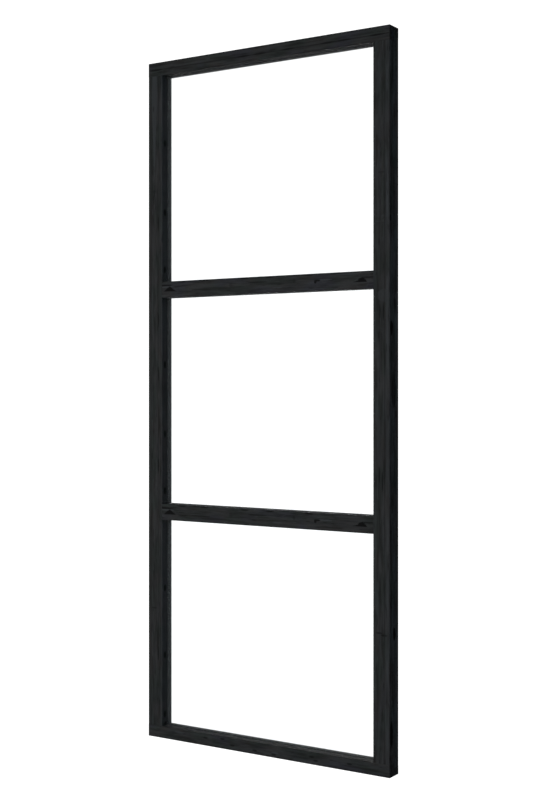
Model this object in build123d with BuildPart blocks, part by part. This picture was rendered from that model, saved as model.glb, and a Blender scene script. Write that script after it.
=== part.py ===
"""Glass partition wall: a rebated timber frame with three panes, one above the other.

Millimetres, +Z up. The origin is on the floor under the middle of the frame. X runs along
the wall, -Y is the front, which is plain, and +Y is the back, where the beads hold the glass.
"""
import os

from build123d import *

# Overall size
overall_height = 2340.0
overall_width = 947.0
frame_depth = 58.0

# Faces of the members, as seen from the front
stile_face = 58.0
top_rail_face = 47.0
bottom_rail_face = 41.0
transom_face = 55.0
edge_easing = 0.8

# Rebate for the glass, cut from the back
lip_depth = 28.0
rebate_cover = 15.0

# Glass and what it is bedded on
glass_thickness = 6.0
glass_edge_gap = 4.0
glass_arris = 0.6
tape_thickness = 2.0
tape_width = 9.0
tape_set_back = 1.0
tape_end_gap = 0.3
block_width = 8.0
setting_block_length = 70.0
setting_block_inset = 180.0
location_block_length = 40.0
location_block_inset = 60.0

# Beads and the brads that hold them, which are flat-sided, with a head wider one way
bead_easing = 0.8
mitre_gap = 0.2
brad_width = 1.3
brad_thickness = 1.1
brad_head_width = 2.2
brad_head_height = 0.8
brad_set_in = 0.6
brad_bite = 8.0
brad_end_inset = 60.0
brads_per_bead = 4
brad_hole_gap = 0.1
brad_end_gap = 1.5

# Mortises and tenons
tenon_thickness = 16.0
tenon_behind_front = 8.0
tenon_gap = 0.15
tenon_end_gap = 1.5
stile_tenon_length = 24.0
stile_tenon_outer_shoulder = 12.0
stile_tenon_inner_shoulder = 10.0
transom_tenon_length = 34.0
transom_tenon_shoulder = 8.0

# Depths, from the front face at -Y to the back face at +Y
front = -frame_depth / 2
back = frame_depth / 2
rebate_plane = front + lip_depth
glass_front = rebate_plane + tape_thickness
glass_back = glass_front + glass_thickness
bead_front = glass_back + tape_thickness
bead_depth = back - bead_front
glass_middle = (glass_front + glass_back) / 2
tenon_middle = front + tenon_behind_front + tenon_thickness / 2

# Sight openings: three of one height between the rails and the two transoms
opening_width = overall_width - 2 * stile_face
timber_height = top_rail_face + bottom_rail_face + 2 * transom_face
opening_height = (overall_height - timber_height) / 3
storey = opening_height + transom_face
opening_bottoms = {
    "lower": bottom_rail_face,
    "middle": bottom_rail_face + storey,
    "upper": bottom_rail_face + 2 * storey,
}
transom_bottoms = {
    "lower": bottom_rail_face + opening_height,
    "upper": bottom_rail_face + storey + opening_height,
}
stile_bottom = bottom_rail_face
stile_top = overall_height - top_rail_face

# Glass and brads in terms of the opening
glass_cover = rebate_cover - glass_edge_gap
glass_width = opening_width + 2 * glass_cover
glass_height = opening_height + 2 * glass_cover
brad_hole_width = brad_width + 2 * brad_hole_gap
brad_hole_thickness = brad_thickness + 2 * brad_hole_gap
brad_hole_depth = brad_bite + brad_end_gap
brad_level = bead_front + bead_depth / 2

# Run of each side of an opening, turning so that the rebate lies on its outer hand
side_runs = {
    "bottom": (1, 0, 0),
    "right": (0, 0, 1),
    "top": (-1, 0, 0),
    "left": (0, 0, -1),
}


def side_length(side):
    """Sight length of one side of an opening."""
    return opening_width if side in ("bottom", "top") else opening_height


def side_plane(opening, side, depth):
    """Plane on one side of an opening: x along the side, y out into the rebate, z to the back."""
    run = Vector(*side_runs[side])
    outward = Vector(0, 1, 0).cross(run)
    reach = opening_height / 2 if side in ("bottom", "top") else opening_width / 2
    middle = Vector(0, depth, opening_bottoms[opening] + opening_height / 2)
    return Plane(origin=middle + outward * reach, x_dir=run, z_dir=(0, 1, 0))


def brad_places(side):
    """Distances along a side at which its bead is held by a brad."""
    span = side_length(side) - 2 * brad_end_inset
    return [-span / 2 + span * i / (brads_per_bead - 1) for i in range(brads_per_bead)]


def brad_planes(opening, side, distance):
    """Planes across the brads of one bead, a distance out from the sight line."""
    level = side_plane(opening, side, brad_level)
    starts = [level.from_local_coords(Vector(place, distance, 0)) for place in brad_places(side)]
    return [Plane(origin=start, x_dir=level.x_dir, z_dir=level.y_dir) for start in starts]


def make_left_stile():
    """Left stile: rebated at the back, tenoned into both rails, mortised for both transoms."""
    outer = -overall_width / 2
    inner = -opening_width / 2
    stem = inner - rebate_cover
    tenon_left = outer + stile_tenon_outer_shoulder
    tenon_right = inner - stile_tenon_inner_shoulder
    with BuildPart() as stile:
        with BuildSketch(Plane.XY.offset(stile_bottom)):
            with BuildLine():
                Polyline(
                    (outer, front), (inner, front), (inner, rebate_plane),
                    (stem, rebate_plane), (stem, back), (outer, back), close=True,
                )
            make_face()
            fillet(vertices().group_by(Axis.Y)[0], edge_easing)
            fillet(vertices().sort_by(Axis.Y)[-2:].sort_by(Axis.X)[0], edge_easing)
        extrude(amount=stile_top - stile_bottom)
        # The long shoulders: behind the lip the stile runs on into the rebates of the rails
        with BuildSketch(Plane.XY.offset(stile_bottom - rebate_cover)):
            with Locations(((outer + stem) / 2, (rebate_plane + back) / 2)):
                Rectangle(stem - outer, back - rebate_plane)
            fillet(vertices().group_by(Axis.X)[0].sort_by(Axis.Y)[-1], edge_easing)
        extrude(amount=stile_top - stile_bottom + 2 * rebate_cover)
        with BuildSketch(Plane.XY.offset(stile_bottom - stile_tenon_length)):
            with Locations(((tenon_left + tenon_right) / 2, tenon_middle)):
                Rectangle(tenon_right - tenon_left, tenon_thickness)
        extrude(amount=stile_top - stile_bottom + 2 * stile_tenon_length)
        for bottom in transom_bottoms.values():
            with BuildSketch(Plane.YZ.offset(inner)):
                with Locations((tenon_middle, bottom + transom_face / 2)):
                    Rectangle(
                        tenon_thickness + 2 * tenon_gap,
                        transom_face - 2 * transom_tenon_shoulder + 2 * tenon_gap,
                    )
            extrude(amount=-transom_tenon_length - tenon_end_gap, mode=Mode.SUBTRACT)
        for opening in opening_bottoms:
            with BuildSketch(*brad_planes(opening, "left", rebate_cover)):
                Rectangle(brad_hole_width, brad_hole_thickness)
            extrude(amount=brad_hole_depth, mode=Mode.SUBTRACT)
    return stile


def make_right_stile(left_stile):
    """Right stile: the left one, handed."""
    with BuildPart() as stile:
        mirror(left_stile.part, about=Plane.YZ)
    return stile


def make_rail(inner, outer, opening, side):
    """Top or bottom rail across the full width, from its inner face to its outer face."""
    up = 1 if outer > inner else -1
    stem = inner + up * rebate_cover
    tenon_span = stile_face - stile_tenon_outer_shoulder - stile_tenon_inner_shoulder
    mortise_x = overall_width / 2 - stile_tenon_outer_shoulder - tenon_span / 2
    with BuildPart() as rail:
        with BuildSketch(Plane.YZ.offset(-overall_width / 2)):
            with BuildLine():
                Polyline(
                    (front, outer), (front, inner), (rebate_plane, inner),
                    (rebate_plane, stem), (back, stem), (back, outer), close=True,
                )
            make_face()
            fillet(vertices().group_by(Axis.X)[0], edge_easing)
        extrude(amount=overall_width)
        with BuildSketch(Plane.XY.offset(inner)):
            with Locations((-mortise_x, tenon_middle), (mortise_x, tenon_middle)):
                Rectangle(tenon_span + 2 * tenon_gap, tenon_thickness + 2 * tenon_gap)
        extrude(amount=up * (stile_tenon_length + tenon_end_gap), mode=Mode.SUBTRACT)
        with BuildSketch(*brad_planes(opening, side, rebate_cover)):
            Rectangle(brad_hole_width, brad_hole_thickness)
        extrude(amount=brad_hole_depth, mode=Mode.SUBTRACT)
    return rail


def make_transom(bottom, opening_below, opening_above):
    """Transom between the stiles: rebated above and below, with a tenon at each end."""
    top = bottom + transom_face
    middle = (bottom + top) / 2
    stem_height = transom_face - 2 * rebate_cover
    with BuildPart() as transom:
        with BuildSketch(Plane.YZ.offset(-opening_width / 2)):
            with Locations(((front + rebate_plane) / 2, middle)):
                Rectangle(lip_depth, transom_face)
            fillet(vertices().group_by(Axis.X)[0], edge_easing)
        extrude(amount=opening_width)
        # The long shoulders: behind the lip the stem runs on into the rebates of the stiles
        with BuildSketch(Plane.YZ.offset(-opening_width / 2 - rebate_cover)):
            with Locations(((rebate_plane + back) / 2, middle)):
                Rectangle(back - rebate_plane, stem_height)
        extrude(amount=opening_width + 2 * rebate_cover)
        with BuildSketch(Plane.YZ.offset(-opening_width / 2 - transom_tenon_length)):
            with Locations((tenon_middle, middle)):
                Rectangle(tenon_thickness, transom_face - 2 * transom_tenon_shoulder)
        extrude(amount=opening_width + 2 * transom_tenon_length)
        for opening, side in ((opening_below, "top"), (opening_above, "bottom")):
            with BuildSketch(*brad_planes(opening, side, rebate_cover)):
                Rectangle(brad_hole_width, brad_hole_thickness)
            extrude(amount=brad_hole_depth, mode=Mode.SUBTRACT)
    return transom


def make_pane(opening):
    """Pane of clear glass with its edges taken off."""
    middle = opening_bottoms[opening] + opening_height / 2
    with BuildPart() as pane:
        with BuildSketch(Plane.XZ.offset(-glass_back)):
            with Locations((0, middle)):
                Rectangle(glass_width, glass_height)
        extrude(amount=glass_thickness)
        chamfer(edges().filter_by(Axis.Y, reverse=True), glass_arris)
    return pane


def make_tape(opening, side, depth):
    """Strip of glazing tape along one side; the upright strips stop at the level ones."""
    near = tape_set_back
    far = tape_set_back + tape_width
    ends = far if side in ("bottom", "top") else near - tape_end_gap
    with BuildPart() as tape:
        with BuildSketch(side_plane(opening, side, depth)):
            with Locations((0, (near + far) / 2)):
                Rectangle(side_length(side) + 2 * ends, tape_width)
        extrude(amount=tape_thickness)
    return tape


def make_bead(opening, side):
    """Glazing bead, mitred at both ends, eased on its outer sight edge and holed for its brads."""
    short = side_length(side) / 2 - mitre_gap
    long = short + rebate_cover
    with BuildPart() as bead:
        with BuildSketch(side_plane(opening, side, bead_front)):
            with BuildLine():
                Polyline(
                    (-short, 0), (short, 0), (long, rebate_cover), (-long, rebate_cover), close=True,
                )
            make_face()
        extrude(amount=bead_depth)
        run = Vector(*side_runs[side])
        sight_corner = side_plane(opening, side, back).origin
        sight_edges = edges().filter_by(lambda edge: abs(edge.tangent_at(0.5).dot(run)) > 0.999)
        chamfer(sight_edges.sort_by_distance(sight_corner)[0], bead_easing)
        with BuildSketch(*brad_planes(opening, side, 0)):
            Rectangle(brad_hole_width, brad_hole_thickness)
        extrude(amount=rebate_cover, mode=Mode.SUBTRACT)
        with BuildSketch(*brad_planes(opening, side, 0)):
            Rectangle(brad_head_width + 2 * brad_hole_gap, brad_hole_thickness)
        extrude(amount=brad_set_in + brad_head_height, mode=Mode.SUBTRACT)
    return bead


def make_bead_brads(opening):
    """Brads of one opening's four beads, their heads set in below the sight faces."""
    with BuildPart() as brads:
        for side in side_runs:
            with BuildSketch(*brad_planes(opening, side, brad_set_in)):
                Rectangle(brad_head_width, brad_thickness)
            extrude(amount=brad_head_height)
            with BuildSketch(*brad_planes(opening, side, brad_set_in)):
                Rectangle(brad_width, brad_thickness)
            extrude(amount=rebate_cover - brad_set_in + brad_bite)
    return brads


def make_setting_block(opening, hand):
    """Block under the glass, inset from one lower corner of the pane; hand is -1 or 1."""
    place = hand * (glass_width / 2 - setting_block_inset)
    with BuildPart() as block:
        with BuildSketch(side_plane(opening, "bottom", glass_middle - block_width / 2)):
            with Locations((place, rebate_cover - glass_edge_gap / 2)):
                Rectangle(setting_block_length, glass_edge_gap)
        extrude(amount=block_width)
    return block


def make_location_blocks(opening):
    """Blocks beside the glass, near its four corners."""
    reach = glass_height / 2 - location_block_inset
    with BuildPart() as blocks:
        for side in ("left", "right"):
            with BuildSketch(side_plane(opening, side, glass_middle - block_width / 2)):
                across = rebate_cover - glass_edge_gap / 2
                with Locations((-reach, across), (reach, across)):
                    Rectangle(location_block_length, glass_edge_gap)
            extrude(amount=block_width)
    return blocks


def write_piece(piece, name):
    """Label one finished piece and write it."""
    piece.part.label = name
    export_step(piece.part, f"parts/{name}.step")


def write_glazing(opening):
    """Everything in one opening: pane, tapes, blocks, beads and brads."""
    write_piece(make_pane(opening), f"{opening}_pane")
    for side in side_runs:
        write_piece(make_tape(opening, side, rebate_plane), f"{opening}_{side}_front_tape")
        write_piece(make_tape(opening, side, glass_back), f"{opening}_{side}_back_tape")
        write_piece(make_bead(opening, side), f"{opening}_{side}_bead")
    write_piece(make_setting_block(opening, -1), f"{opening}_left_setting_block")
    write_piece(make_setting_block(opening, 1), f"{opening}_right_setting_block")
    write_piece(make_location_blocks(opening), f"{opening}_location_blocks")
    write_piece(make_bead_brads(opening), f"{opening}_bead_brads")


def write_frame():
    """The six members of the frame."""
    left_stile = make_left_stile()
    write_piece(left_stile, "left_stile")
    write_piece(make_right_stile(left_stile), "right_stile")
    write_piece(make_rail(stile_top, overall_height, "upper", "top"), "top_rail")
    write_piece(make_rail(stile_bottom, 0.0, "lower", "bottom"), "bottom_rail")
    write_piece(make_transom(transom_bottoms["lower"], "lower", "middle"), "lower_transom")
    write_piece(make_transom(transom_bottoms["upper"], "middle", "upper"), "upper_transom")


os.makedirs("parts", exist_ok=True)
write_frame()
for name in opening_bottoms:
    write_glazing(name)
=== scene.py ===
"""Dresses the glass partition wall: black-stained pine, clear glass, black tape and steel brads."""
import math

import bpy
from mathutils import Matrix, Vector


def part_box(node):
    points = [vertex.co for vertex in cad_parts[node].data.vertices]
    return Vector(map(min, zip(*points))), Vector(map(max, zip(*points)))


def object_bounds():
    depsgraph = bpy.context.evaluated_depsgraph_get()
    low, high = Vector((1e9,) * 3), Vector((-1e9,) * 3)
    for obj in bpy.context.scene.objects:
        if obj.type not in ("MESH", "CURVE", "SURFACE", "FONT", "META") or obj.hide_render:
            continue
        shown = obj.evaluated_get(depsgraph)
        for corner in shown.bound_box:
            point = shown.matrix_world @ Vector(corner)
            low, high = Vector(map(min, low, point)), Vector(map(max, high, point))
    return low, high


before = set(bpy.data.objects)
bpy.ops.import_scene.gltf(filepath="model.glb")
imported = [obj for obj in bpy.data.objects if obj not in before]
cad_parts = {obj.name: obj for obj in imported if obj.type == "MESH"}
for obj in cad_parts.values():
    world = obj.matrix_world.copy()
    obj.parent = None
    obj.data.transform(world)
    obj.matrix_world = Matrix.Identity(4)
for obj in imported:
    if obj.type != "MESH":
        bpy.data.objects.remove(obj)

cad_low, cad_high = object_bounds()


# Building node trees

# Where a Mix node keeps its share, its first and second input, and its output
COLOUR_MIX = (0, 6, 7, 2)
NUMBER_MIX = (0, 2, 3, 0)
NOISE_MIDDLE = 0.5


class Tree:
    """Short calls for one node tree. An input takes a value or another node's output."""

    def __init__(self, tree):
        self.tree = tree

    def put(self, socket, value):
        if isinstance(value, bpy.types.NodeSocket):
            self.tree.links.new(value, socket)
        else:
            socket.default_value = value

    def fill(self, made, values):
        """Puts values on a node's inputs in their order."""
        for socket, value in zip(made.inputs, values):
            self.put(socket, value)
        return made

    def node(self, kind, inputs=None, **settings):
        made = self.tree.nodes.new(kind)
        for name, value in settings.items():
            setattr(made, name, value)
        for name, value in (inputs or {}).items():
            self.put(made.inputs[name], value)
        return made

    def math(self, operation, *values, clamp=False):
        made = self.node("ShaderNodeMath", operation=operation, use_clamp=clamp)
        return self.fill(made, values).outputs[0]

    def vector(self, operation, *values, output="Vector"):
        made = self.node("ShaderNodeVectorMath", operation=operation)
        return self.fill(made, values).outputs[output]

    def scale(self, vector, size):
        """A vector times a number."""
        made = self.node("ShaderNodeVectorMath", {"Scale": size}, operation="SCALE")
        return self.fill(made, (vector,)).outputs[0]

    def parts(self, vector):
        """A vector's X, Y and Z."""
        return self.node("ShaderNodeSeparateXYZ", {"Vector": vector}).outputs

    def join(self, x, y, z):
        """A vector made of its X, Y and Z."""
        return self.node("ShaderNodeCombineXYZ", {"X": x, "Y": y, "Z": z}).outputs[0]

    def step(self, value, start, whole):
        """Smooth step from nought, where a value is at its start, to one, where it is whole."""
        return self.node(
            "ShaderNodeMapRange", {"Value": value, "From Min": start, "From Max": whole},
            interpolation_type="SMOOTHSTEP").outputs["Result"]

    def between(self, share, low, high):
        """A number that goes from low to high with a share."""
        return self.math("MULTIPLY_ADD", share, high - low, low)

    def cover(self, under, mark, strength):
        """The stronger of a mask and a mark that is laid over it."""
        return self.math("MAXIMUM", under, self.math("MULTIPLY", mark, strength))

    def mixed(self, kind, sockets, values, blend="MIX"):
        *inputs, output = sockets
        made = self.node("ShaderNodeMix", data_type=kind, blend_type=blend, clamp_factor=True)
        for place, value in zip(inputs, values):
            self.put(made.inputs[place], value)
        return made.outputs[output]

    def mix(self, share, first, second, blend="MIX"):
        """Mix of two colours."""
        return self.mixed("RGBA", COLOUR_MIX, (share, first, second), blend)

    def blend(self, share, first, second):
        """Mix of two numbers."""
        return self.mixed("FLOAT", NUMBER_MIX, (share, first, second))

    def noise(self, place, scale, detail=2.0, distortion=0.0):
        """Noise from about 0 to 1."""
        return self.node("ShaderNodeTexNoise", {
            "Vector": place, "Scale": scale, "Detail": detail, "Distortion": distortion,
        }).outputs["Fac"]

    def grain(self, place, waves, detail=2.0, distortion=0.0):
        """Noise that is drawn out along the timber."""
        return self.noise(self.vector("MULTIPLY", place, waves), 1.0, detail, distortion)

    def drift(self, place, waves, detail=2.0):
        """Grain noise less its middle, so that it goes both ways."""
        return self.math("SUBTRACT", self.grain(place, waves, detail), NOISE_MIDDLE)

    def bump(self, height, strength, distance):
        """Normals of a relief that is so many metres high."""
        return self.node("ShaderNodeBump", {
            "Height": height, "Strength": strength, "Distance": distance}).outputs[0]

    def shade(self, share, first, second):
        """Mix of two shaders."""
        return self.fill(self.node("ShaderNodeMixShader"), (share, first, second)).outputs[0]

    def use(self, group, inputs):
        """Outputs of a placed copy of a node group."""
        return self.node("ShaderNodeGroup", inputs, node_tree=group).outputs


SOCKETS = {"number": "NodeSocketFloat", "vector": "NodeSocketVector", "colour": "NodeSocketColor"}


def effect(name, inputs, outputs, build):
    """A node group. inputs is {name: (kind, value)}, outputs is {name: kind}; build returns outputs."""
    group = bpy.data.node_groups.new(name, "ShaderNodeTree")
    for label, (kind, value) in inputs.items():
        socket = group.interface.new_socket(label, in_out="INPUT", socket_type=SOCKETS[kind])
        socket.default_value = value
    for label, kind in outputs.items():
        group.interface.new_socket(label, in_out="OUTPUT", socket_type=SOCKETS[kind])
    tree = Tree(group)
    given = tree.node("NodeGroupInput").outputs
    result = tree.node("NodeGroupOutput")
    for label, value in build(tree, given).items():
        tree.put(result.inputs[label], value)
    return group


# Effects shared by the timbers

# A place on a board is in metres along its grain, across its face and into its depth. Waves are
# counted a metre in the same order. A fade is the value where a mark starts and where it is whole.
WANDER_WAVES = (1.1, 5.0, 5.0)
RIPPLE_WAVES = (14.0, 90.0, 90.0)
LATEWOOD_FADE = (0.35, 0.90)
LATEWOOD_END = (1.00, 0.93)
RING_STRENGTH = (0.3, 1.0)


def build_rings(tree, given):
    """Growth rings cut along a log whose heart lies beside the board and wanders a little."""
    place = given["Place"]
    part = tree.parts(place)
    across = tree.math("SUBTRACT", part["Y"], given["Heart Across"])
    depth = tree.math("SUBTRACT", part["Z"], given["Heart Depth"])
    reach = tree.math("POWER", tree.math("ADD", tree.math("MULTIPLY", across, across),
                                         tree.math("MULTIPLY", depth, depth)), 0.5)
    swing = tree.math("MULTIPLY", tree.drift(place, WANDER_WAVES, detail=1.0), given["Wander"])
    shaken = tree.math("MULTIPLY", tree.drift(place, RIPPLE_WAVES), given["Ripple"])
    total = tree.math("ADD", tree.math("ADD", reach, swing),
                      tree.math("ADD", shaken, given["Shift"]))
    years = tree.math("DIVIDE", total, given["Ring Width"])
    season = tree.math("FRACT", years)
    late = tree.math("MULTIPLY", tree.step(season, *LATEWOOD_FADE), tree.step(season, *LATEWOOD_END))
    year = tree.math("FLOOR", years)
    luck = tree.node("ShaderNodeTexWhiteNoise", {"W": year}, noise_dimensions="1D").outputs["Value"]
    return {"Latewood": tree.math("MULTIPLY", late, tree.between(luck, *RING_STRENGTH))}


RINGS = effect(
    "Growth rings",
    {"Place": ("vector", (0, 0, 0)), "Heart Across": ("number", 0.03),
     "Heart Depth": ("number", -0.02), "Ring Width": ("number", 0.006),
     "Wander": ("number", 0.04), "Ripple": ("number", 0.001), "Shift": ("number", 0.0)},
    {"Latewood": "number"},
    build_rings,
)


FINE_WAVES = (14.0, 900.0, 900.0)
WIDE_WAVES = (8.0, 110.0, 110.0)
WIDE_CURL = 0.6
PATCH_WAVES = (9.0, 48.0, 48.0)
WARMTH_WAVES = (9.0, 18.0, 18.0)
BLUENESS_WAVES = (7.0, 14.0, 22.0)
FLECK_WAVES = (20.0, 190.0, 190.0)
STREAK_FADE = (0.30, 0.70)
PATCH_FADE = (0.40, 0.65)
WARMTH_FADE = (0.40, 0.60)
BLUENESS_FADE = (0.50, 0.64)
DARK_FLECK_FADE = (0.62, 0.72)
PALE_FLECK_FADE = (0.36, 0.28)


def build_fibre(tree, given):
    """Streaks of the fibres, streaks and patches of uneven stain, two drifts of hue, and flecks."""
    place = given["Place"]
    wide = tree.grain(place, WIDE_WAVES, detail=3.0, distortion=WIDE_CURL)
    fleck = tree.grain(place, FLECK_WAVES, detail=1.0)
    return {
        "Fine": tree.step(tree.grain(place, FINE_WAVES, detail=3.0), *STREAK_FADE),
        "Wide": tree.step(wide, *STREAK_FADE),
        "Patch": tree.step(tree.grain(place, PATCH_WAVES), *PATCH_FADE),
        "Warmth": tree.step(tree.grain(place, WARMTH_WAVES, detail=1.0), *WARMTH_FADE),
        "Blueness": tree.step(tree.grain(place, BLUENESS_WAVES, detail=1.0), *BLUENESS_FADE),
        "Dark Flecks": tree.step(fleck, *DARK_FLECK_FADE),
        "Pale Flecks": tree.step(fleck, *PALE_FLECK_FADE),
    }


FIBRE = effect(
    "Timber fibre",
    {"Place": ("vector", (0, 0, 0))},
    {"Fine": "number", "Wide": "number", "Patch": "number", "Warmth": "number",
     "Blueness": "number", "Dark Flecks": "number", "Pale Flecks": "number"},
    build_fibre,
)


# Distances from a knot's centre are shares of its half size, so its even edge lies at one
KNOT_EDGE_WAVES = (160.0, 300.0, 300.0)
KNOT_RAGGED = 0.5
CORE_START = 1.05
FLAT_SIDE_FADE = 0.12
RIM_MIDDLE = 1.35
RIM_REACH = 0.25
PUSH_FALL = -0.28


def build_knot(tree, given):
    """One knot or mark: its ragged core, a pale rim, and how far it pushes the rings aside."""
    place = given["Place"]
    away = tree.vector("SUBTRACT", place, given["Centre"])
    through = tree.vector("DOT_PRODUCT", away, given["Branch"], output="Value")
    flat = tree.vector("SUBTRACT", away, tree.scale(given["Branch"], through))
    share = tree.vector("DIVIDE", flat, given["Size"])
    sides = tree.vector("ABSOLUTE", share)
    round_far = tree.vector("LENGTH", share, output="Value")
    pointed_far = tree.vector("DOT_PRODUCT", sides, (1.0, 1.0, 1.0), output="Value")
    far = tree.blend(given["Pointed"], round_far, pointed_far)
    rough = tree.math("MULTIPLY", tree.drift(place, KNOT_EDGE_WAVES), KNOT_RAGGED)
    core = tree.step(tree.math("ADD", far, rough), CORE_START, given["Firm"])
    lowest = tree.math("SUBTRACT", 0.0, given["Flat Side"])
    above = tree.step(tree.parts(share)["Y"], lowest, tree.math("ADD", lowest, FLAT_SIDE_FADE))
    rim_far = tree.math("ABSOLUTE", tree.math("SUBTRACT", far, RIM_MIDDLE))
    push = tree.math("EXPONENT", tree.math("MULTIPLY", tree.math("MULTIPLY", far, far), PUSH_FALL))
    return {
        "Core": tree.math("MULTIPLY", core, above),
        "Rim": tree.math("MULTIPLY", tree.step(rim_far, RIM_REACH, 0.0), given["Pale Rim"]),
        "Shift": tree.math("MULTIPLY", push, given["Push"]),
    }


KNOT = effect(
    "Pine knot",
    {"Place": ("vector", (0, 0, 0)), "Centre": ("vector", (0, 0, 0)),
     "Branch": ("vector", (0, 0, 1)), "Size": ("vector", (0.02, 0.008, 0.008)),
     "Pointed": ("number", 0.0), "Flat Side": ("number", 9.0), "Firm": ("number", 0.8),
     "Pale Rim": ("number", 0.3), "Push": ("number", 0.008)},
    {"Core": "number", "Rim": "number", "Shift": "number"},
    build_knot,
)


# Pale corners are stain rubbed thin and a painted highlight where the eased corners catch the light.
# The last is the share of a corner's reach that is worn and highlit the whole way through
WORN_HIGHLIT_WAVES = (7.0, 20.0, 20.0)
WORN_HIGHLIT_FADE = (0.40, 0.65)
WORN_HIGHLIT_WHOLE = 0.3


def build_worn_highlit_corners(tree, given):
    """Paler corners of a squared timber in broken stretches: rubbed stain and painted highlight."""
    place = given["Place"]
    part = tree.parts(place)
    to_side = tree.math("SUBTRACT", given["Half Width"], tree.math("ABSOLUTE", part["Y"]))
    to_back = tree.math("SUBTRACT", given["Thickness"], part["Z"])
    to_face = tree.math("MINIMUM", part["Z"], to_back)
    to_corner = tree.math("MAXIMUM", to_side, to_face)
    near = tree.step(to_corner, given["Reach"], tree.math("MULTIPLY", given["Reach"], WORN_HIGHLIT_WHOLE))
    broken = tree.step(tree.grain(place, WORN_HIGHLIT_WAVES, detail=3.0), *WORN_HIGHLIT_FADE)
    return {"Worn And Highlit": tree.math("MULTIPLY", near, broken)}


WORN_HIGHLIT_CORNERS = effect(
    "Worn and highlit corners",
    {"Place": ("vector", (0, 0, 0)), "Half Width": ("number", 0.029),
     "Thickness": ("number", 0.058), "Reach": ("number", 0.0025)},
    {"Worn And Highlit": "number"},
    build_worn_highlit_corners,
)


SWAY_WAVES = (2.6, 20.0, 20.0)
GAP_WAVES = (5.0, 4.0, 4.0)
GAP_FADE = 0.25


def build_band(tree, given):
    """A straight band along the board, between two distances across it, with wandering edges."""
    place = given["Place"]
    soft = given["Softness"]
    gaps = given["Gaps"]
    sway = tree.math("MULTIPLY", tree.drift(place, SWAY_WAVES, detail=3.0), given["Sway"])
    across = tree.math("ADD", tree.parts(place)["Y"], sway)
    rise = tree.step(across, tree.math("SUBTRACT", given["From"], soft), given["From"])
    fall = tree.step(across, tree.math("ADD", given["To"], soft), given["To"])
    broken = tree.grain(place, GAP_WAVES, detail=3.0)
    whole = tree.step(broken, gaps, tree.math("ADD", gaps, GAP_FADE))
    return {"Band": tree.math("MULTIPLY", tree.math("MULTIPLY", rise, fall), whole)}


BAND = effect(
    "Grain, shade and highlight band",
    {"Place": ("vector", (0, 0, 0)), "From": ("number", 0.0), "To": ("number", 0.001),
     "Softness": ("number", 0.001), "Sway": ("number", 0.002), "Gaps": ("number", 0.0)},
    {"Band": "number"},
    build_band,
)


# What the fibre and the marks do to the stain's shade, its roughness and its relief
FIBRE_SHADE = (0.88, 1.12)
FIBRE_ROUGHNESS = (-0.03, 0.03)
LATEWOOD_SMOOTHER = 0.08
MARK_ROUGHER = 0.22
LATEWOOD_RELIEF = 0.7
FIBRE_RELIEF = 0.3


def build_stain(tree, given):
    """Colour, roughness and relief of black stain over pine, from the timber's marks and painted shade
    and highlights.
    """
    late = given["Latewood"]
    fine = given["Fine"]
    worn = tree.mix(given["Wide"], given["Deep Stain"], given["Thin Stain"])
    ringed = tree.mix(tree.math("MULTIPLY", late, given["Ring Contrast"]), worn,
                      given["Latewood Stain"])
    shade = tree.between(fine, *FIBRE_SHADE)
    grey = tree.node("ShaderNodeCombineColor", {"Red": shade, "Green": shade, "Blue": shade})
    fibred = tree.mix(1.0, ringed, grey.outputs[0], blend="MULTIPLY")
    warmed = tree.mix(given["Warmth"], given["Cool Tint"], given["Warm Tint"])
    hue = tree.mix(given["Blueness"], warmed, given["Blue Tint"])
    tinted = tree.mix(1.0, fibred, hue, blend="MULTIPLY")
    # The pale mask also carries painted highlight on the corners and painted reflection on the upright
    # beads
    lit = tree.mix(given["Light"], tinted, given["Pale Stain And Sheen"])
    ring_rough = tree.blend(late, given["Roughness"],
                            tree.math("SUBTRACT", given["Roughness"], LATEWOOD_SMOOTHER))
    rough = tree.math("ADD", ring_rough, tree.math("MULTIPLY", given["Dark"], MARK_ROUGHER))
    return {
        # The dark mask also carries painted shade and painted corner shadow on the stiles' sides
        "Colour": tree.mix(given["Dark"], lit, given["Knot Stain And Shade"]),
        "Roughness": tree.math("ADD", rough, tree.between(fine, *FIBRE_ROUGHNESS)),
        "Relief": tree.math("ADD", tree.math("MULTIPLY", late, LATEWOOD_RELIEF),
                            tree.math("MULTIPLY", fine, FIBRE_RELIEF)),
    }


STAIN = effect(
    "Black stain",
    {"Latewood": ("number", 0.0), "Ring Contrast": ("number", 0.5), "Fine": ("number", 0.5),
     "Wide": ("number", 0.5), "Warmth": ("number", 0.5), "Blueness": ("number", 0.0),
     "Light": ("number", 0.0), "Dark": ("number", 0.0), "Roughness": ("number", 0.45),
     "Deep Stain": ("colour", (0.0115, 0.0122, 0.0122, 1)),
     "Thin Stain": ("colour", (0.0320, 0.0340, 0.0340, 1)),
     "Latewood Stain": ("colour", (0.0070, 0.0078, 0.0078, 1)),
     "Pale Stain And Sheen": ("colour", (0.0460, 0.0510, 0.0560, 1)),
     "Knot Stain And Shade": ("colour", (0.0012, 0.0012, 0.0013, 1)),
     "Cool Tint": ("colour", (0.89, 1.03, 0.96, 1)),
     "Warm Tint": ("colour", (1.09, 0.99, 0.96, 1)),
     "Blue Tint": ("colour", (1.00, 0.98, 1.22, 1))},
    {"Colour": "colour", "Roughness": "number", "Relief": "number"},
    build_stain,
)


# Timber materials, one for each member

# Which axis runs along a member, across its face and into its depth
UPRIGHT = ("Z", "X", "Y")
LEVEL = ("X", "Z", "Y")

# Which way the branch of a knot ran, in the board's own directions
FRONT_BRANCH = (0, 0, 1)
SIDE_BRANCH = (0, 1, 0)

# How far from a sawn end the stain soaks in, and the strength and height of the timber's relief
END_REACH = 0.0012
TIMBER_RELIEF = (0.35, 0.0003)

MATERIALS = {}


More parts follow.
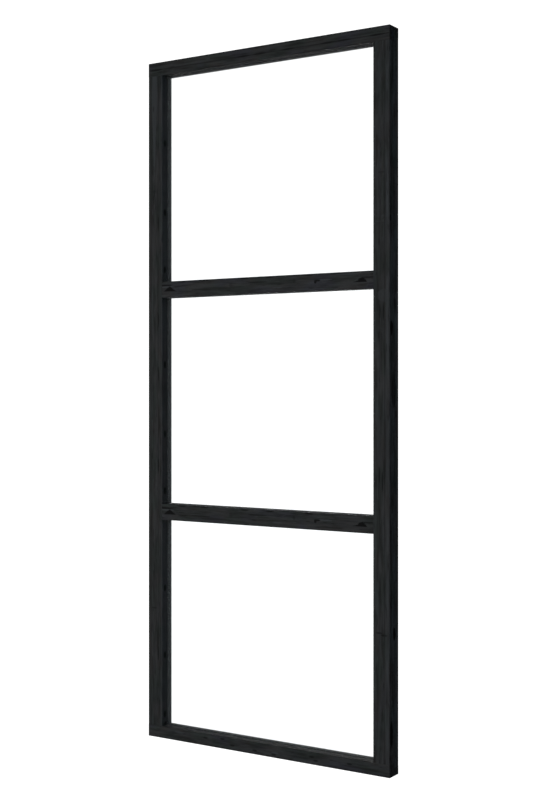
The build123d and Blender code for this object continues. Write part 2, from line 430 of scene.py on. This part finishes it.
def new_material(name):
    material = bpy.data.materials.new(name)
    material.use_nodes = True
    material.node_tree.nodes.clear()
    return material, Tree(material.node_tree)


def finish_material(tree, shader):
    tree.node("ShaderNodeOutputMaterial", {"Surface": shader})


def surface_place(tree):
    """The place of a point of the surface, in metres in the frame of the whole object."""
    return tree.node("ShaderNodeTexCoord").outputs["Object"]


def across_face(run, corner):
    """A corner's place on the axis that runs across a member's face."""
    return corner["XYZ".index(run[1])]


def board_place(tree, run, low, high):
    """Place on a board: along it, across its face from the middle, and its depth from the front."""
    along, across, depth = run
    part = tree.parts(surface_place(tree))
    middle = (across_face(run, low) + across_face(run, high)) / 2
    return tree.join(part[along], tree.math("SUBTRACT", part[across], middle),
                     tree.math("SUBTRACT", part[depth], low.y))


def on_face(along, across, size, darkness=1.0, **more):
    """A knot or mark on the front: its place, its half length and half height. Below 0 is pale."""
    return darkness, {"Centre": (along, across, 0.0), "Branch": FRONT_BRANCH,
                      "Size": (*size, 1.0), **more}


def on_edge(along, depth, size, darkness=1.0, **more):
    """A knot or mark on the side faces: its place, its half length and half height."""
    return darkness, {"Centre": (along, 0.0, depth), "Branch": SIDE_BRANCH,
                      "Size": (size[0], 1.0, size[1]), **more}


# What a mark is given that leaves the rings as they run and has no rim
UNPUSHED = {"Push": 0.0, "Pale Rim": 0.0}


def stroke(along, across, size, darkness):
    """A short mark on the front, with no knot under it."""
    return on_face(along, across, size, darkness, **UNPUSHED)


def streak(low, high, strength, sway=0.002, gaps=0.0, softness=0.0012):
    """A band between two distances across the board: grain, and on the stiles also painted shade and
    painted highlight.
    """
    return strength, {"From": low, "To": high, "Sway": sway, "Gaps": gaps, "Softness": softness}


def end_grain(tree, place, half_length):
    """One on the sawn ends of a level rail, where the stain soaks in deepest."""
    to_end = tree.math("SUBTRACT", half_length, tree.math("ABSOLUTE", tree.parts(place)["X"]))
    return tree.step(to_end, END_REACH, END_REACH / 2)


def with_marks(tree, place, marks, dark, light):
    """The dark and the light mask with knots and strokes laid on, and their push on the rings."""
    pushed = 0.0
    for darkness, values in marks:
        knot = tree.use(KNOT, {"Place": place, **values})
        pushed = tree.math("ADD", pushed, knot["Shift"])
        light = tree.math("MAXIMUM", light, knot["Rim"])
        if darkness > 0:
            dark = tree.cover(dark, knot["Core"], darkness)
        else:
            light = tree.cover(light, knot["Core"], -darkness)
    return dark, light, pushed


def with_streaks(tree, place, streaks, mask):
    """A mask with bands laid on: grain, and on the stiles also painted shade and painted highlight."""
    for strength, values in streaks:
        band = tree.use(BAND, {"Place": place, **values})["Band"]
        mask = tree.cover(mask, band, strength)
    return mask


def stained_pine(name, run, box, seed, heart, ring_width=0.010, ring_contrast=0.5, marks=(),
                 dark_streaks=(), light_streaks_and_highlight=(), side_streaks_and_shade=(), patches_and_reflection=0.3, flecks=0.5,
                 blueness=1.0, corner_wear_and_highlight=0.3, ends=0.0):
    """One member's timber, with its own rings, knots and streaks, and painted shade and highlights
    where given.
    """
    low, high = box
    material, tree = new_material(name)
    place = board_place(tree, run, low, high)
    log = tree.vector("ADD", place, (seed, 0.0, 0.0))
    part = tree.parts(log)
    side_place = tree.join(part["X"], part["Z"], part["Y"])
    fibre = tree.use(FIBRE, {"Place": log})
    dark = tree.math("MULTIPLY", fibre["Dark Flecks"], flecks)
    # Pale patches: uneven stain, and on the upright beads painted reflection
    light = tree.cover(tree.math("MULTIPLY", fibre["Patch"], patches_and_reflection), fibre["Pale Flecks"], flecks)
    dark, light, pushed = with_marks(tree, place, marks, dark, light)
    dark = with_streaks(tree, log, dark_streaks, dark)
    # Bands on the sides: dark grain, and painted shade on the stiles' sides
    dark = with_streaks(tree, side_place, side_streaks_and_shade, dark)
    # Pale bands: grain, and a painted highlight along the left stile's corner
    light = with_streaks(tree, log, light_streaks_and_highlight, light)
    # Paler corners: rubbed stain, and a painted highlight where the eased corners catch the light
    if corner_wear_and_highlight:
        corners = tree.use(WORN_HIGHLIT_CORNERS, {
            "Place": place, "Half Width": (across_face(run, high) - across_face(run, low)) / 2,
            "Thickness": high.y - low.y})["Worn And Highlit"]
        light = tree.cover(light, corners, corner_wear_and_highlight)
    if ends:
        soaked = end_grain(tree, place, (high.x - low.x) / 2)
        dark = tree.blend(soaked, dark, ends)
        light = tree.blend(soaked, light, 0.0)
    rings = tree.use(RINGS, {
        "Place": log, "Heart Across": heart[0], "Heart Depth": heart[1],
        "Ring Width": ring_width, "Shift": pushed})
    stain = tree.use(STAIN, {
        "Latewood": rings["Latewood"], "Ring Contrast": ring_contrast, "Fine": fibre["Fine"],
        "Wide": fibre["Wide"], "Warmth": fibre["Warmth"],
        "Blueness": tree.math("MULTIPLY", fibre["Blueness"], blueness),
        "Light": light, "Dark": dark})
    shader = tree.node("ShaderNodeBsdfPrincipled", {
        "Base Color": stain["Colour"], "Roughness": stain["Roughness"],
        "Normal": tree.bump(stain["Relief"], *TIMBER_RELIEF),
        "IOR": 1.45, "Specular IOR Level": 0.15}).outputs[0]
    finish_material(tree, shader)
    MATERIALS[name] = material


# Heights above the floor of the knots down the left stile's reveal, and of dark strokes beside it
REVEAL_KNOTS = (2.060, 1.820, 1.622, 1.292, 1.052, 0.854, 0.517, 0.284, 0.079)
LEFT_STROKES = (1.781, 1.446, 1.261, 0.943, 0.291)

# Places along the level members of dark dashes, and of specks along and across the bottom rail
TRANSOM_DASHES = (-0.330, -0.235, -0.070, 0.030, 0.180)
RAIL_DASHES = (-0.440, -0.075, -0.010, 0.100, 0.250, 0.310, 0.430)
RAIL_SPECKS = ((-0.230, 0.006), (-0.160, 0.012), (-0.120, -0.004), (-0.030, -0.008),
               (0.045, -0.010), (0.190, 0.004), (0.205, -0.006), (0.330, 0.002))


# A mark gives its place along the member, its place across or its depth, its half size and strength

def left_stile_marks():
    """A row of knots down the reveal, strokes beside it and a long pale wedge at the top."""
    marks = [on_edge(height, 0.017, (0.014, 0.007), Push=0.006) for height in REVEAL_KNOTS]
    marks += [stroke(height, 0.0135, (0.028, 0.0030), 0.7) for height in LEFT_STROKES]
    return marks + [
        on_edge(0.047, 0.020, (0.007, 0.008)),
        on_face(2.215, -0.004, (0.330, 0.014), -0.65, Pointed=1.0, **UNPUSHED),
        stroke(1.893, -0.004, (0.006, 0.010), 0.3),
        stroke(0.448, -0.005, (0.003, 0.012), 0.5),
    ]


def right_stile_marks():
    """Large knots on the outer side, and short dark and pale strokes on the front."""
    return [
        on_edge(1.399, 0.013, (0.026, 0.009)),
        on_edge(1.205, 0.026, (0.060, 0.016), 0.6),
        on_edge(0.444, 0.031, (0.022, 0.009)),
        on_edge(0.132, 0.012, (0.046, 0.010)),
        on_edge(1.740, 0.006, (0.010, 0.006)),
        stroke(0.447, -0.008, (0.0035, 0.012), 0.6),
        stroke(0.441, 0.009, (0.0035, 0.012), 0.6),
        stroke(1.884, 0.000, (0.0035, 0.014), 0.35),
        stroke(1.905, -0.004, (0.010, 0.004), -0.6),
        stroke(1.910, 0.019, (0.024, 0.004), -0.7),
        stroke(1.500, 0.0085, (0.022, 0.025), -0.45),
        stroke(1.450, -0.005, (0.024, 0.0024), 0.7),
        stroke(1.446, 0.007, (0.026, 0.0024), 0.7),
        stroke(0.940, -0.007, (0.028, 0.0028), 0.7),
        stroke(0.920, 0.003, (0.034, 0.0028), 0.7),
    ]


def transom_marks():
    """Both transoms are cut alike: a knot near each end and faint marks between."""
    flat = {"Flat Side": 0.0}
    return [
        on_face(-0.382, -0.008, (0.027, 0.018), Pointed=1.0, Firm=0.95, **flat),
        on_face(0.375, -0.008, (0.019, 0.016), Pointed=0.4, Firm=0.95, **flat),
        on_face(0.358, -0.007, (0.020, 0.005), Pointed=1.0, **flat),
        stroke(0.204, 0.001, (0.005, 0.0065), 0.9),
        stroke(0.212, 0.004, (0.012, 0.0030), 0.9),
        stroke(0.240, 0.006, (0.028, 0.0028), -0.8),
        stroke(0.123, 0.008, (0.006, 0.0070), 0.35),
        stroke(0.060, -0.012, (0.022, 0.0026), -0.7),
        stroke(-0.020, 0.009, (0.040, 0.0026), 0.6),
        stroke(-0.126, 0.004, (0.008, 0.0080), 0.25),
        stroke(-0.250, -0.006, (0.045, 0.0026), 0.5),
        stroke(-0.402, 0.014, (0.036, 0.0028), 0.9),
        stroke(-0.396, 0.008, (0.036, 0.0026), -0.8),
        stroke(0.398, 0.007, (0.026, 0.0028), 0.7),
        stroke(0.320, 0.020, (0.050, 0.0026), -0.6),
    ] + [stroke(along, 0.0235, (0.018, 0.0024), 0.8) for along in TRANSOM_DASHES]


def top_rail_marks():
    """Dark stretches on the one grain line that runs along the rail."""
    return [stroke(along, -0.0025, (0.030, 0.0030), 0.9) for along in RAIL_DASHES]


def bottom_rail_marks():
    """Small dark marks scattered along the rail, and two pale ones."""
    dark = [stroke(along, across, (0.010, 0.0035), 0.7) for along, across in RAIL_SPECKS]
    return dark + [stroke(0.050, -0.004, (0.016, 0.0030), -0.9),
                   stroke(-0.340, 0.009, (0.024, 0.0028), -0.7)]


def make_timbers():
    """The six members, and one timber each for the level and the upright beads."""
    stained_pine("left_stile", UPRIGHT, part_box("left_stile"), seed=3.1, heart=(-0.006, 0.085),
                 ring_contrast=0.4, blueness=0.15, marks=left_stile_marks(),
                 dark_streaks=[streak(0.0115, 0.0145, 0.30, sway=0.004, gaps=0.3),
                               streak(-0.0195, -0.0170, 0.40, sway=0.002, gaps=0.2)],
                 # Painted highlight: a broken pale band along the front corner beside the reveal, where
                 # the eased corner catches the light
                 light_streaks_and_highlight=[streak(0.0265, 0.0290, 0.45, gaps=0.3)],
                 # Painted shade: a straight dark band over the whole depth darkens the stile's sides
                 # and its back
                 side_streaks_and_shade=[streak(0.005, 0.060, 0.44, sway=0.0, softness=0.003)])
    stained_pine("right_stile", UPRIGHT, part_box("right_stile"), seed=7.7, heart=(-0.010, 0.090),
                 ring_contrast=0.4, blueness=0.15, patches_and_reflection=0.42, marks=right_stile_marks(),
                 dark_streaks=[streak(0.0100, 0.0120, 0.35, sway=0.003, gaps=0.25)],
                 light_streaks_and_highlight=[streak(0.0160, 0.0260, 0.55, sway=0.003, gaps=0.3, softness=0.002),
                                streak(0.0185, 0.0220, 1.00, sway=0.005, gaps=0.36)],
                 # Painted shade on the sides: the thin dark line at the front corner is painted corner
                 # shadow, and the wavy dark streak behind it is grain with painted shade
                 side_streaks_and_shade=[streak(0.010, 0.026, 0.30, sway=0.020, gaps=0.4, softness=0.006),
                               streak(0.001, 0.005, 0.50, sway=0.002, gaps=0.35)])
    for name, seed in (("upper_transom", 0.0), ("lower_transom", 9.4)):
        stained_pine(name, LEVEL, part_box(name), seed=seed, heart=(0.012, 0.085),
                     ring_width=0.007, ring_contrast=0.25, marks=transom_marks())
    stained_pine("top_rail", LEVEL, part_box("top_rail"), seed=1.3, heart=(0.010, 0.080),
                 ring_contrast=0.25, ends=0.35, marks=top_rail_marks(),
                 dark_streaks=[streak(-0.0035, -0.0015, 0.6, sway=0.003, gaps=0.2)])
    stained_pine("bottom_rail", LEVEL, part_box("bottom_rail"), seed=5.9, heart=(-0.015, 0.080),
                 ring_contrast=0.25, ends=0.35, patches_and_reflection=0.4, marks=bottom_rail_marks())
    bead = {"ring_contrast": 0.15, "flecks": 0.0, "blueness": 0.3, "corner_wear_and_highlight": 0.0}
    stained_pine("level_bead", LEVEL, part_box("lower_bottom_bead"), seed=2.2, heart=(0.4, 0.3),
                 patches_and_reflection=0.1, **bead)
    # The upright beads' paler patches are painted reflection, standing in for the glass's sheen over
    # the strip seen through it, on top of the pine's own uneven tone
    stained_pine("upright_bead", UPRIGHT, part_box("lower_left_bead"), seed=4.4, heart=(0.9, 0.3),
                 patches_and_reflection=0.6, **bead)


# Glass, tape, blocks and brads

# Cells and clouds are counted a metre. A relief is its strength and its height in metres.
TAPE_CELLS = 1400.0
TAPE_CLOUDS = 60.0
TAPE_COLOURS = ((0.010, 0.010, 0.011, 1), (0.018, 0.018, 0.019, 1))
TAPE_ROUGHNESS = (0.80, 0.90)
TAPE_RELIEF = (0.4, 0.0003)

BLOCK_GRAIN = 900.0
BLOCK_CLOUDS = 40.0
BLOCK_COLOURS = ((0.020, 0.020, 0.022, 1), (0.030, 0.030, 0.033, 1))
BLOCK_ROUGHNESS = (0.50, 0.65)
BLOCK_RELIEF = (0.2, 0.0001)

BRAD_BLOOM = 500.0
BRAD_COLOURS = ((0.45, 0.45, 0.46, 1), (0.62, 0.62, 0.63, 1))
BRAD_ROUGHNESS = (0.25, 0.45)


def make_glass():
    """Clear glass that lamps shine through, faintly blue-green in the body."""
    material, tree = new_material("clear glass")
    glass = tree.node("ShaderNodeBsdfPrincipled", {
        "Base Color": (0.975, 0.995, 1.0, 1), "Roughness": 0.0, "IOR": 1.5,
        "Transmission Weight": 0.96}).outputs[0]
    clear = tree.node("ShaderNodeBsdfTransparent").outputs[0]
    lamp = tree.node("ShaderNodeLightPath").outputs["Is Shadow Ray"]
    finish_material(tree, tree.shade(lamp, glass, clear))
    MATERIALS["clear_glass"] = material


def make_tape():
    """Black closed-cell tape, matt with fine cells."""
    material, tree = new_material("black glazing tape")
    spot = surface_place(tree)
    cells = tree.node("ShaderNodeTexVoronoi", {"Vector": spot, "Scale": TAPE_CELLS})
    cell = cells.outputs["Distance"]
    shader = tree.node("ShaderNodeBsdfPrincipled", {
        "Base Color": tree.mix(tree.noise(spot, TAPE_CLOUDS), *TAPE_COLOURS),
        "Roughness": tree.between(cell, *TAPE_ROUGHNESS),
        "Normal": tree.bump(cell, *TAPE_RELIEF)}).outputs[0]
    finish_material(tree, shader)
    MATERIALS["glazing_tape"] = material


def make_block():
    """Moulded black plastic of the glazing blocks."""
    material, tree = new_material("black glazing block")
    spot = surface_place(tree)
    grain = tree.noise(spot, BLOCK_GRAIN)
    shader = tree.node("ShaderNodeBsdfPrincipled", {
        "Base Color": tree.mix(tree.noise(spot, BLOCK_CLOUDS), *BLOCK_COLOURS),
        "Roughness": tree.between(grain, *BLOCK_ROUGHNESS),
        "Normal": tree.bump(grain, *BLOCK_RELIEF)}).outputs[0]
    finish_material(tree, shader)
    MATERIALS["glazing_block"] = material


def make_brad_steel():
    """Bright drawn steel of the brads, with a dull bloom."""
    material, tree = new_material("brad steel")
    bloom = tree.noise(surface_place(tree), BRAD_BLOOM)
    shader = tree.node("ShaderNodeBsdfPrincipled", {
        "Base Color": tree.mix(bloom, *BRAD_COLOURS), "Metallic": 1.0,
        "Roughness": tree.between(bloom, *BRAD_ROUGHNESS)}).outputs[0]
    finish_material(tree, shader)
    MATERIALS["brad_steel"] = material


def material_for(node):
    """Name of the material that a node of the frame takes."""
    if node in MATERIALS:
        return node
    if node.endswith("_pane"):
        return "clear_glass"
    if node.endswith("_tape"):
        return "glazing_tape"
    if node.endswith("_brads"):
        return "brad_steel"
    if "block" in node:
        return "glazing_block"
    return "level_bead" if "_top_" in node or "_bottom_" in node else "upright_bead"


def dress_nodes():
    """Gives every piece of the frame its finish."""
    for node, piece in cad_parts.items():
        material = MATERIALS[material_for(node)]
        for slot in piece.material_slots:
            slot.material = material


# The studio

# The floor's half width and its gap under the object, in metres
FLOOR_REACH = 30.0
FLOOR_GAP = 0.0005

# Strength of the white that is looked at, the floor's share of it, and the dim light of the room
SEEN_WHITE = 1.20
SEEN_SHARE = 0.93
AMBIENT = 0.02
WHITE = (1, 1, 1, 1)


def looked_at(tree):
    """One for what is looked at, straight or through glass, and nought for light on a surface."""
    path = tree.node("ShaderNodeLightPath").outputs
    sight = tree.math("ADD", path["Is Camera Ray"], path["Is Transmission Ray"], clamp=True)
    bounces = tree.math("ADD", path["Diffuse Depth"], path["Glossy Depth"], clamp=True)
    return tree.math("MULTIPLY", sight, tree.math("SUBTRACT", 1.0, bounces))


def make_floor():
    """Plain pale floor that reads as white as the background. Light on surfaces passes through it."""
    low = cad_low.z - FLOOR_GAP
    quarters = ((-1, -1), (1, -1), (1, 1), (-1, 1))
    corners = [(x * FLOOR_REACH, y * FLOOR_REACH, low) for x, y in quarters]
    mesh = bpy.data.meshes.new("studio_floor")
    mesh.from_pydata(corners, [], [(0, 1, 2, 3)])
    floor = bpy.data.objects.new("studio_floor", mesh)
    bpy.context.scene.collection.objects.link(floor)
    material, tree = new_material("pale studio floor")
    plain = tree.node("ShaderNodeBsdfDiffuse", {"Color": (0.9, 0.9, 0.9, 1)}).outputs[0]
    white = tree.node("ShaderNodeEmission", {
        "Color": WHITE, "Strength": SEEN_WHITE / SEEN_SHARE}).outputs[0]
    open_air = tree.node("ShaderNodeBsdfTransparent").outputs[0]
    pale = tree.shade(SEEN_SHARE, plain, white)
    finish_material(tree, tree.shade(looked_at(tree), open_air, pale))
    mesh.materials.append(material)


# Soft boxes round the room: direction, cosine at the faded rim, cosine at the full middle, colour
SOFT_BOXES = (
    ((-0.50, -0.86, 0.00), 0.00, 0.60, (0.39, 0.39, 0.39)),
    ((0.93, -0.36, 0.03), 0.90, 0.97, (1.72, 2.00, 2.28)),
    ((-0.25, 0.97, 0.04), 0.975, 0.992, (13.0, 13.0, 13.0)),
    ((0.0, 0.0, 1.0), 0.75, 0.95, (0.07, 0.07, 0.07)),
)


def make_world():
    """A dim room with soft boxes round it, and plain white behind all that is looked at."""
    world = bpy.data.worlds.new("white studio")
    bpy.context.scene.world = world
    world.use_nodes = True
    world.node_tree.nodes.clear()
    tree = Tree(world.node_tree)
    way = tree.node("ShaderNodeTexCoord").outputs["Generated"]
    light = (AMBIENT, AMBIENT, AMBIENT)
    for towards, rim, middle, colour in SOFT_BOXES:
        facing = tree.vector("DOT_PRODUCT", way, Vector(towards).normalized(), output="Value")
        light = tree.vector("ADD", light, tree.scale(colour, tree.step(facing, rim, middle)))
    seen = looked_at(tree)
    shine = tree.node("ShaderNodeBackground", {
        "Color": tree.mix(seen, light, WHITE),
        "Strength": tree.blend(seen, 1.0, SEEN_WHITE)})
    tree.node("ShaderNodeOutputWorld", {"Surface": shine.outputs[0]})


LAMP_PLACE = (-6.0, -10.3, 1.2)
LAMP_SIDE = 6.0
LAMP_POWER = 140.0


def make_front_lamp():
    """One large square lamp far in front, level with the middle of the wall."""
    data = bpy.data.lights.new("front_lamp", "AREA")
    data.shape = "SQUARE"
    data.size = LAMP_SIDE
    data.energy = LAMP_POWER
    lamp = bpy.data.objects.new("front_lamp", data)
    lamp.location = LAMP_PLACE
    lamp.rotation_mode = "QUATERNION"
    aim = Vector((0, 0, (cad_low.z + cad_high.z) / 2))
    lamp.rotation_quaternion = (aim - lamp.location).to_track_quat("-Z", "Y")
    bpy.context.scene.collection.objects.link(lamp)


# Camera, solved from the edges of the frame in the photograph: metres, radians and pixels

CAMERA_PLACE = (2.4277, -3.7147, 1.2124)
CAMERA_TURN = 0.57179
FOCAL_PIXELS = 1339.9
HORIZON_ROW = 387.64
PHOTO_HEIGHT = 800
SENSOR_MM = 36.0
SIGHT_REACH = 200.0


def make_camera():
    """A level camera, with a shift for the row of the photograph that the horizon lies on."""
    data = bpy.data.cameras.new("photo_camera")
    data.sensor_width = SENSOR_MM
    data.lens = FOCAL_PIXELS / PHOTO_HEIGHT * SENSOR_MM
    data.shift_y = (HORIZON_ROW - PHOTO_HEIGHT / 2) / PHOTO_HEIGHT
    data.clip_end = SIGHT_REACH
    camera = bpy.data.objects.new("photo_camera", data)
    camera.location = CAMERA_PLACE
    camera.rotation_euler = (math.pi / 2, 0, CAMERA_TURN)
    bpy.context.scene.collection.objects.link(camera)
    bpy.context.scene.camera = camera


make_timbers()
make_glass()
make_tape()
make_block()
make_brad_steel()
dress_nodes()
make_floor()
make_world()
make_front_lamp()
make_camera()
bpy.context.scene.view_settings.view_transform = "Standard"
bpy.context.view_layer.update()
